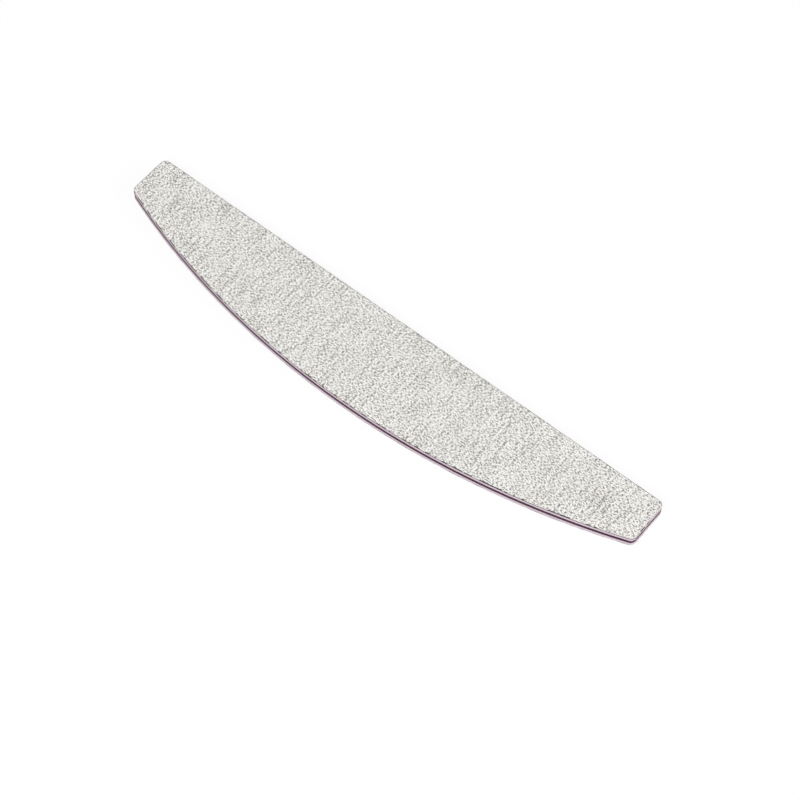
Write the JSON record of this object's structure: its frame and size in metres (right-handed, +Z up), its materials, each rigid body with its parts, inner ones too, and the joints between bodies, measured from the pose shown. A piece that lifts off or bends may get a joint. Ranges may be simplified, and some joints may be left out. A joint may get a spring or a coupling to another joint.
{
  "type": "emery board",
  "caption": "Flat half-moon nail file: a stiff plastic core between foam cushions, faced with abrasive paper, with a straight edge, a bowed edge and square ends.",
  "frame": {"origin": "middle of the lower abrasive face, midway between the ends and midway between the straight edge and the top of the bow", "axes": "+X along the board's length, +Y across it towards the straight edge, +Z up out of the upper abrasive face"},
  "size_m": [0.18, 0.03, 0.004],
  "materials": {
    "grit": "rough pale grey abrasive grain in resin",
    "backing_paper": "matt grey backing paper",
    "adhesive_film": "clear matt adhesive film",
    "foam": "matt pale lilac closed-cell foam",
    "core_plastic": "satin dark plum plastic sheet"
  },
  "bodies": {
    "root": {"top_grit": "grit", "top_paper": "backing_paper", "top_paper_adhesive": "adhesive_film", "top_foam": "foam", "top_core_adhesive": "adhesive_film", "core_board": "core_plastic", "bottom_core_adhesive": "adhesive_film", "bottom_foam": "foam", "bottom_paper_adhesive": "adhesive_film", "bottom_paper": "backing_paper", "bottom_grit": "grit"}
  },
  "joints": []
}
